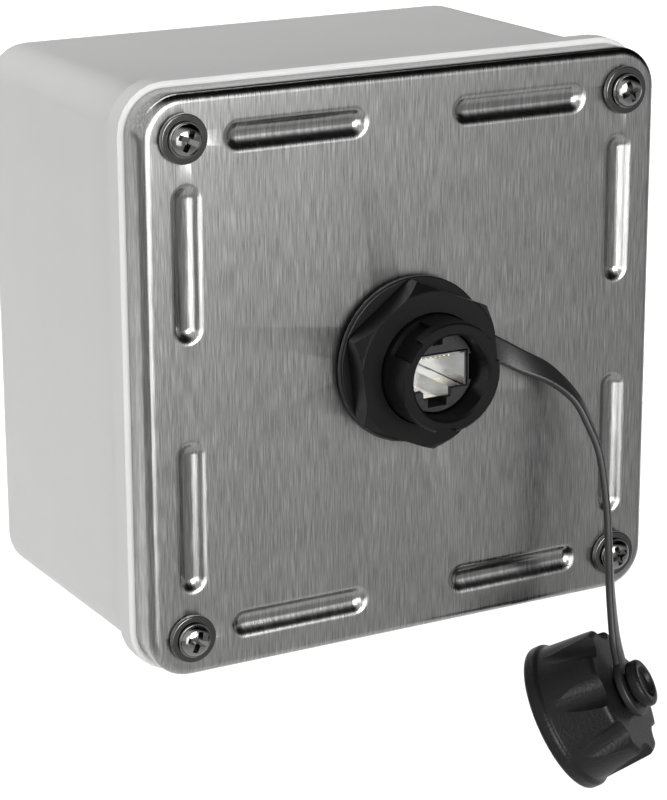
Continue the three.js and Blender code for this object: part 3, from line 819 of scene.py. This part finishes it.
class PART_OT_cover(bpy.types.Operator):
    """Builds the pressed stainless cover with its slots and holes"""

    bl_idname = "network_box.cover"
    bl_label = "Cover"

    receptacle_hole_r = 11.4 * MM
    screw_hole_r = 2.1 * MM

    def execute(self, context):
        s = settings().cover
        bm = bmesh.new()
        flat = self.bend(bm, s)
        for centre, upright in self.slot_places(s):
            flat += self.slot(bm, s, centre, upright)
        flat += ring_of(bm, circle(self.receptacle_hole_r, FACE_Y, steps=64))
        for k in CORNER_NUMBERS:
            at = middle(f"cover_screw_{k}")
            flat += ring_of(bm, circle(self.screw_hole_r, FACE_Y, (at.x, at.z), 24))
        bmesh.ops.triangle_fill(bm, use_beauty=True, use_dissolve=False, edges=flat)
        cover = finished_object("pressed_cover", bm, "stainless")
        face = max(cover.data.polygons, key=lambda p: p.area)
        if face.normal.y > 0:
            cover.data.flip_normals()
        thick = cover.modifiers.new("sheet", "SOLIDIFY")
        thick.thickness = s.sheet
        thick.offset = -1
        soften(cover, angle=math.radians(40))
        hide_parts("cover_plate")
        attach(cover, "box")
        return {"FINISHED"}

    def bend(self, bm, s, steps=7):
        """The rounded edge and the flange behind it; gives back the ring round the flat face."""
        rings = []
        for k in range(steps + 1):
            turn = math.pi / 2 * k / steps
            inset = s.bend_radius * (1 - math.sin(turn))
            y = FACE_Y + s.bend_radius * (1 - math.cos(turn))
            points = rounded_square(COVER_HALF - inset, s.corner_radius - inset, y)
            rings.append(ring_of(bm, points))
        back = FACE_Y + COVER_DEEP
        rings.append(ring_of(bm, rounded_square(COVER_HALF, s.corner_radius, back)))
        skin(bm, rings)
        return rings[0]

    def slot_places(self, s):
        for along in (-s.slot_along, s.slot_along):
            for out in (-s.slot_out, s.slot_out):
                yield (along, out), False
                yield (out, along), True

    def slot(self, bm, s, centre, upright, steps=16):
        """A pressed recess, from the flat face over its shoulder down to its floor."""
        rings = []
        inner = (s.slot_floor - s.slot_width) / 2
        for k in range(steps + 1):
            t = k / steps
            grow = 2 * (s.slot_shoulder + (inner - s.slot_shoulder) * t)
            y = FACE_Y + s.slot_depth * pressed_curve(t)
            points = stadium(s.slot_length + grow, s.slot_width + grow, y, centre, upright)
            rings.append(ring_of(bm, points))
        skin(bm, rings)
        cap_ring(bm, rings[-1])
        return rings[0]


class PART_OT_box(bpy.types.Operator):
    """Finishes the moulded box, its gasket, its brass inserts and the rear grommet"""

    bl_idname = "network_box.box"
    bl_label = "Box"

    def execute(self, context):
        rubber = ("seal_rubber", "seal_rubber")
        edge = settings().box.edge
        cad_copy("moulded_box", "box_body", "box_plastic", "box_plastic", edge, 3)
        cad_copy("cover_seal", "cover_gasket", *rubber, 0.15 * MM)
        cad_copy("rear_grommet", "cable_grommet", *rubber, 0.3 * MM)
        for k in CORNER_NUMBERS:
            cad_copy(f"brass_insert_{k}", f"screw_insert_{k}", "brass", "brass", 0.1 * MM)
        return {"FINISHED"}


class PART_OT_screws(bpy.types.Operator):
    """Builds the four pan-head screws with their washers and seals"""

    bl_idname = "network_box.screws"
    bl_label = "Screws"

    cross_turns = (24, 68, 20, 72)
    seal_thick = 0.3 * MM
    seal_tucked = 0.3 * MM
    shank_r = 1.6 * MM
    tip_r = 0.9 * MM

    def execute(self, context):
        split = FACE_Y - self.seal_thick
        for k, turn in zip(CORNER_NUMBERS, self.cross_turns):
            self.screw(k, math.radians(turn))
            washer = (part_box(f"screw_washer_{k}")[0].y, split)
            seal = (split, FACE_Y)
            self.ring(k, "screw_washer", "washer", "washer_steel", "bright_steel", washer, 0)
            self.ring(
                k, "screw_seal", "seal_washer", "seal_rubber", "seal_rubber", seal,
                self.seal_tucked,
            )
        return {"FINISHED"}

    def screw(self, k, turn, dome_steps=10):
        """A domed head with a thin rim, and its plain shank."""
        low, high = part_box(f"cover_screw_{k}")
        at = middle(f"cover_screw_{k}")
        head_r = (high.x - low.x) / 2
        head_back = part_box(f"screw_washer_{k}")[0].y - 0.25 * MM
        dome_r = head_r - 0.32 * MM
        dome_tall = (head_back - low.y) * 0.74
        profile = [(0, low.y)]
        for step in range(1, dome_steps + 1):
            angle = math.pi / 2 * step / dome_steps
            r = dome_r * math.sin(angle) ** 0.9
            profile.append((r, low.y + dome_tall * (1 - math.cos(angle))))
        profile += [
            (dome_r, head_back - 0.34 * MM), (head_r - 0.1 * MM, head_back - 0.34 * MM),
            (head_r, head_back - 0.24 * MM), (head_r, head_back - 0.1 * MM),
            (head_r - 0.1 * MM, head_back), (self.shank_r, head_back),
            (self.shank_r, high.y - 1 * MM), (self.tip_r, high.y), (0, high.y),
        ]
        bm = turned(profile, 40, (at.x, at.z))
        head = finished_object(f"pan_screw_{k}", bm, "bright_steel")
        for quarter in (0, 1):
            self.carve(head, at, low.y, turn + quarter * math.pi / 2)
        soften(head, angle=math.radians(35))
        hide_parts(f"cover_screw_{k}")
        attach(head, "box")

    def carve(self, head, at, front, turn):
        """Cuts one tapered arm of the cross recess."""
        bm = bmesh.new()
        bmesh.ops.create_cube(bm, size=1)
        bmesh.ops.scale(bm, vec=(8.0 * MM, 3.0 * MM, 1.45 * MM), verts=bm.verts)
        bmesh.ops.translate(bm, vec=(0, 0.1 * MM, 0), verts=bm.verts)
        deep = [v for v in bm.verts if v.co.y > 0]
        bmesh.ops.scale(bm, vec=(0.2, 1, 0.55), verts=deep)
        bmesh.ops.rotate(bm, cent=(0, 0, 0), matrix=Matrix.Rotation(turn, 3, "Y"), verts=bm.verts)
        bmesh.ops.translate(bm, vec=(at.x, front, at.z), verts=bm.verts)
        intersect(head, bm, "DIFFERENCE")

    def ring(self, k, node_name, name, finish, slot, faces, tucked):
        """One of the flat rings under a head, its rim tucked in."""
        at = middle(f"{node_name}_{k}")
        hole_r, outer = 2.1 * MM, reach(f"{node_name}_{k}").x / 2 - tucked
        profile = rounded_ring_profile(hole_r, outer, *faces, 0.22 * MM)
        piece = finished_object(f"{name}_{k}", turned(profile, 40, (at.x, at.z)), finish)
        soften(piece)
        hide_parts(f"{node_name}_{k}")
        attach(piece, "box")


class PART_OT_receptacle(bpy.types.Operator):
    """Finishes the receptacle: gaskets, nut, barrel, jack and its contacts"""

    bl_idname = "network_box.receptacle"
    bl_label = "Receptacle"

    def execute(self, context):
        edge = settings().connector.edge
        black = ("black_plastic", "black_plastic")
        rubber = ("seal_rubber", "seal_rubber")
        cad_copy("bayonet_barrel", "receptacle_body", *black, edge)
        self.nut(edge * 1.6)
        self.lining()
        cad_copy("jack_core", "jack_insert", "insert_plastic", "black_plastic", edge)
        cad_copy("jack_lining", "jack_shield", "shield_steel", "bright_steel", 0.05 * MM)
        cad_copy("comb", "contact_comb", *black, 0.08 * MM)
        cad_copy("rear_socket", "rear_jack", *black, edge * 1.5)
        cad_copy("rear_wrap", "rear_shield", "bright_steel", "bright_steel", 0.1 * MM)
        cad_copy("flange_seal", "rear_seal", *rubber, 0.15 * MM)
        cad_copy("flat_gasket", "panel_gasket", *rubber, 0.2 * MM)
        for k in CONTACT_NUMBERS:
            cad_copy(f"spring_{k}", f"contact_{k}", "gold", "gold", 0.04 * MM)
        return {"FINISHED"}

    def nut(self, edge):
        """The hexagonal nut, its front corners turned off to a cone."""
        nut = cad_copy("clamp_nut", "hex_nut", "black_plastic", "black_plastic", 0)
        low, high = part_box("hex_nut")
        front, back = low.y, high.y
        cone_start, cone_end, corner = 14.9 * MM, 15.6 * MM, 17.5 * MM
        profile = [(0, front - MM), (cone_start, front - MM), (cone_end, front)]
        profile += [(corner - 0.1 * MM, front + 2.4 * MM), (corner, back + MM), (0, back + MM)]
        intersect(nut, turned(profile, 96), "INTERSECT")
        nut.modifiers.clear()
        soften(nut, edge, 3)

    def lining(self):
        """The bright sheet that lines the socket's floor, its latch step and its back wall."""
        half, step = 6.65 * MM, 3.05 * MM
        top, floor, deep = 2.8 * MM, -3.7 * MM, -5.3 * MM
        front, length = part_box("jack_insert")[0].y + 1.1 * MM, 12.0 * MM
        outline = [
            (-half, top), (-half, floor), (-step, floor), (-step, deep),
            (step, deep), (step, floor), (half, floor), (half, top),
        ]
        bm = bmesh.new()
        verts = [bm.verts.new((x, front, z)) for x, z in outline]
        edges = [bm.edges.new(pair) for pair in zip(verts, verts[1:])]
        run = bmesh.ops.extrude_edge_only(bm, edges=edges)["geom"]
        back = [v for v in run if isinstance(v, bmesh.types.BMVert)]
        bmesh.ops.translate(bm, vec=(0, length, 0), verts=back)
        bmesh.ops.contextual_create(bm, geom=back)
        lining = finished_object("socket_lining", bm, "shield_steel")
        thick = lining.modifiers.new("sheet", "SOLIDIFY")
        thick.thickness = 0.08 * MM
        thick.offset = 0
        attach(lining, "box")


class PART_OT_cap(bpy.types.Operator):
    """Builds the fluted dust cap with its knob and bayonet lugs, and finishes its seal"""

    bl_idname = "network_box.cap"
    bl_label = "Dust cap"

    flutes = 8
    flute_tip = (14.5 * MM, 6.1 * MM)
    lug_turns = (143, 263, 23)
    lug_size = (1.3 * MM, 2.0 * MM, 3.4 * MM)
    long = 15 * MM
    neck_half = 1.4 * MM
    end_r = 13.65 * MM
    bore_r = 11.9 * MM

    def execute(self, context):
        s = settings().cap
        bm = self.shell()
        bmesh.ops.recalc_face_normals(bm, faces=bm.faces)
        cap = finished_object("dust_cap", bm, "cap_plastic")
        intersect(cap, self.flute_cutters(s), "DIFFERENCE")
        intersect(cap, self.lugs(), "UNION")
        placed = bmesh.new()
        placed.from_mesh(cap.data)
        put_on_cap_axis(placed, LOOP_AT - CAP_AXIS * (self.long + self.neck_half))
        placed.to_mesh(cap.data)
        placed.free()
        soften(cap, s.edge, 3, math.radians(24))
        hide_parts("cap_shell")
        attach(cap, "cap")
        rubber = ("seal_rubber", "seal_rubber")
        cad_copy("cap_ring_seal", "cap_seal", *rubber, 0.15 * MM, body="cap")
        return {"FINISHED"}

    def shell(self):
        """The turned body, its rim at zero and its knob beyond the end face.

        Its section is listed as radius and distance from the rim, in millimetres.
        """
        in_mm = [(0, 11.5), (11.9, 11.5), (11.9, 0.6), (12.4, 0.0), (14.5, 0.0)]
        in_mm += self.arc(14.5, 1.0, 1.0, -90, 0, 6)
        in_mm += self.arc(14.5, 2.1, 1.0, 0, 62, 5)
        in_mm += [(14.75, 3.25), (14.62, 3.9), (14.25, 9.0), (13.95, 13.6)]
        in_mm += self.arc(12.75, 13.8, 1.2, 8, 90, 6)
        in_mm += [(4.0, 15.0), (3.3, 15.1), (3.0, 15.5), (3.0, 17.8), (4.7, 17.8)]
        in_mm += self.arc(4.6, 18.2, 0.4, -70, 0, 3)
        in_mm += self.arc(4.2, 19.4, 0.8, 0, 90, 5)
        in_mm += [(3.4, 20.15), (3.1, 19.8), (2.9, 19.35), (0, 19.3)]
        return turned([(r * MM, y * MM) for r, y in in_mm], 112)

    def arc(self, r, y, radius, start, end, steps):
        turns = [math.radians(start + (end - start) * k / steps) for k in range(steps + 1)]
        return [(r + radius * math.cos(t), y + radius * math.sin(t)) for t in turns]

    def flute_cutters(self, s):
        """Tilted rods that scoop the side, deepest at the end face."""
        tip_r, tip_y = self.flute_tip
        tip = Vector((tip_r + s.flute_radius, tip_y, 0))
        deep = Vector((self.end_r + s.flute_radius - s.flute_depth, self.long, 0))
        along = deep - tip
        bm = bmesh.new()
        for k in range(self.flutes):
            made = bmesh.ops.create_cone(
                bm, cap_ends=True, segments=40, radius1=s.flute_radius, radius2=s.flute_radius,
                depth=along.length + 6 * MM,
            )["verts"]
            turn = along.to_track_quat("Z", "Y").to_matrix().to_4x4()
            place = Matrix.Translation((tip + deep) / 2) @ turn
            around = Matrix.Rotation(k * math.tau / self.flutes, 4, "Y")
            bmesh.ops.transform(bm, matrix=around @ place, verts=made)
        return bm

    def lugs(self):
        """Three short blocks inside the rim that run in the barrel's grooves."""
        bm = bmesh.new()
        for turn in self.lug_turns:
            made = bmesh.ops.create_cube(bm, size=1)["verts"]
            bmesh.ops.scale(bm, vec=self.lug_size, verts=made)
            bmesh.ops.translate(bm, vec=(self.bore_r, 2.6 * MM, 0), verts=made)
            around = Matrix.Rotation(math.radians(turn), 4, "Y")
            bmesh.ops.transform(bm, matrix=around, verts=made)
        return bm


class STAGE_OT_studio(bpy.types.Operator):
    """Lays the pale floor and sets the soft studio lights"""

    bl_idname = "network_box.studio"
    bl_label = "Studio"

    def execute(self, context):
        self.floor(context)
        self.sky(context)
        for panel in LIGHT_PANELS:
            self.panel_light(context, *panel)
        wash = self.panel_light(context, *FLOOR_PANEL)
        wash.rotation_quaternion = (1, 0, 0, 0)
        wash.data.spread = FLOOR_PANEL_SPREAD
        context.scene.view_settings.view_transform = "Standard"
        return {"FINISHED"}

    def floor(self, context):
        s = settings().stage
        bm = bmesh.new()
        bmesh.ops.create_grid(bm, x_segments=2, y_segments=2, size=FLOOR_HALF)
        bmesh.ops.translate(bm, vec=(0, 0, CAD_BOX[0].z - s.floor_drop), verts=bm.verts)
        mesh = bpy.data.meshes.new("floor")
        bm.to_mesh(mesh)
        bm.free()
        obj = bpy.data.objects.new("floor", mesh)
        context.scene.collection.objects.link(obj)
        made, _, shader = empty_material("floor_paint")
        shader.inputs["Base Color"].default_value = (*s.floor_colour, 1)
        shader.inputs["Roughness"].default_value = 0.8
        mesh.materials.append(made)

    def sky(self, context):
        """A white room with one dark side, up and to the front right, for the steel to mirror."""
        s = settings().stage
        world = bpy.data.worlds.new("studio")
        world.use_nodes = True
        tree = world.node_tree
        coordinates = node(tree, "ShaderNodeTexCoord")
        towards = node(tree, "ShaderNodeVectorMath", operation="DOT_PRODUCT")
        towards.inputs[1].default_value = Vector(s.dark_side).normalized()
        tree.links.new(coordinates.outputs["Generated"], towards.inputs[0])
        level = node(tree, "ShaderNodeMapRange", interpolation_type="SMOOTHSTEP")
        level.inputs["From Min"].default_value = DARK_FROM
        level.inputs["From Max"].default_value = DARK_FULL
        level.inputs["To Min"].default_value = s.room_light
        level.inputs["To Max"].default_value = 0.0
        tree.links.new(towards.outputs["Value"], level.inputs["Value"])
        background = tree.nodes["Background"]
        background.inputs["Color"].default_value = (1, 1, 1, 1)
        tree.links.new(level.outputs["Result"], background.inputs["Strength"])
        context.scene.world = world

    def panel_light(self, context, name, offset, size, watts):
        """A square panel that faces the middle of the part."""
        centre = (CAD_BOX[0] + CAD_BOX[1]) / 2
        data = bpy.data.lights.new(name, "AREA")
        data.shape = "RECTANGLE"
        data.size = size
        data.size_y = size
        data.energy = watts
        data.spread = PANEL_SPREAD
        obj = bpy.data.objects.new(name, data)
        context.scene.collection.objects.link(obj)
        obj.location = centre + Vector(offset)
        obj.rotation_mode = "QUATERNION"
        obj.rotation_quaternion = (centre - obj.location).to_track_quat("-Z", "Y")
        return obj


STEPS = (
    STAGE_OT_camera, PART_OT_strap, PART_OT_cover, PART_OT_box, PART_OT_screws,
    PART_OT_receptacle, PART_OT_cap, STAGE_OT_studio,
)


class NETWORK_BOX_PT_panel(bpy.types.Panel):
    """Lists the steps that build the box"""

    bl_idname = "NETWORK_BOX_PT_panel"
    bl_label = "Network Box"
    bl_space_type = "VIEW_3D"
    bl_region_type = "UI"
    bl_category = "Network Box"

    def draw(self, context):
        for step in STEPS:
            self.layout.operator(step.bl_idname)


CLASSES = (
    CoverSettings, BoxSettings, ConnectorSettings, StrapSettings, CapSettings, StageSettings,
    NetworkBoxSettings, *STEPS, NETWORK_BOX_PT_panel,
)


def register():
    for made in CLASSES:
        bpy.utils.register_class(made)
    bpy.types.Scene.network_box = PointerProperty(type=NetworkBoxSettings)


def unregister():
    del bpy.types.Scene.network_box
    for made in reversed(CLASSES):
        bpy.utils.unregister_class(made)


def main():
    register()
    for step in STEPS:
        group, _, name = step.bl_idname.partition(".")
        getattr(getattr(bpy.ops, group), name)()


if __name__ == "__main__":
    main()
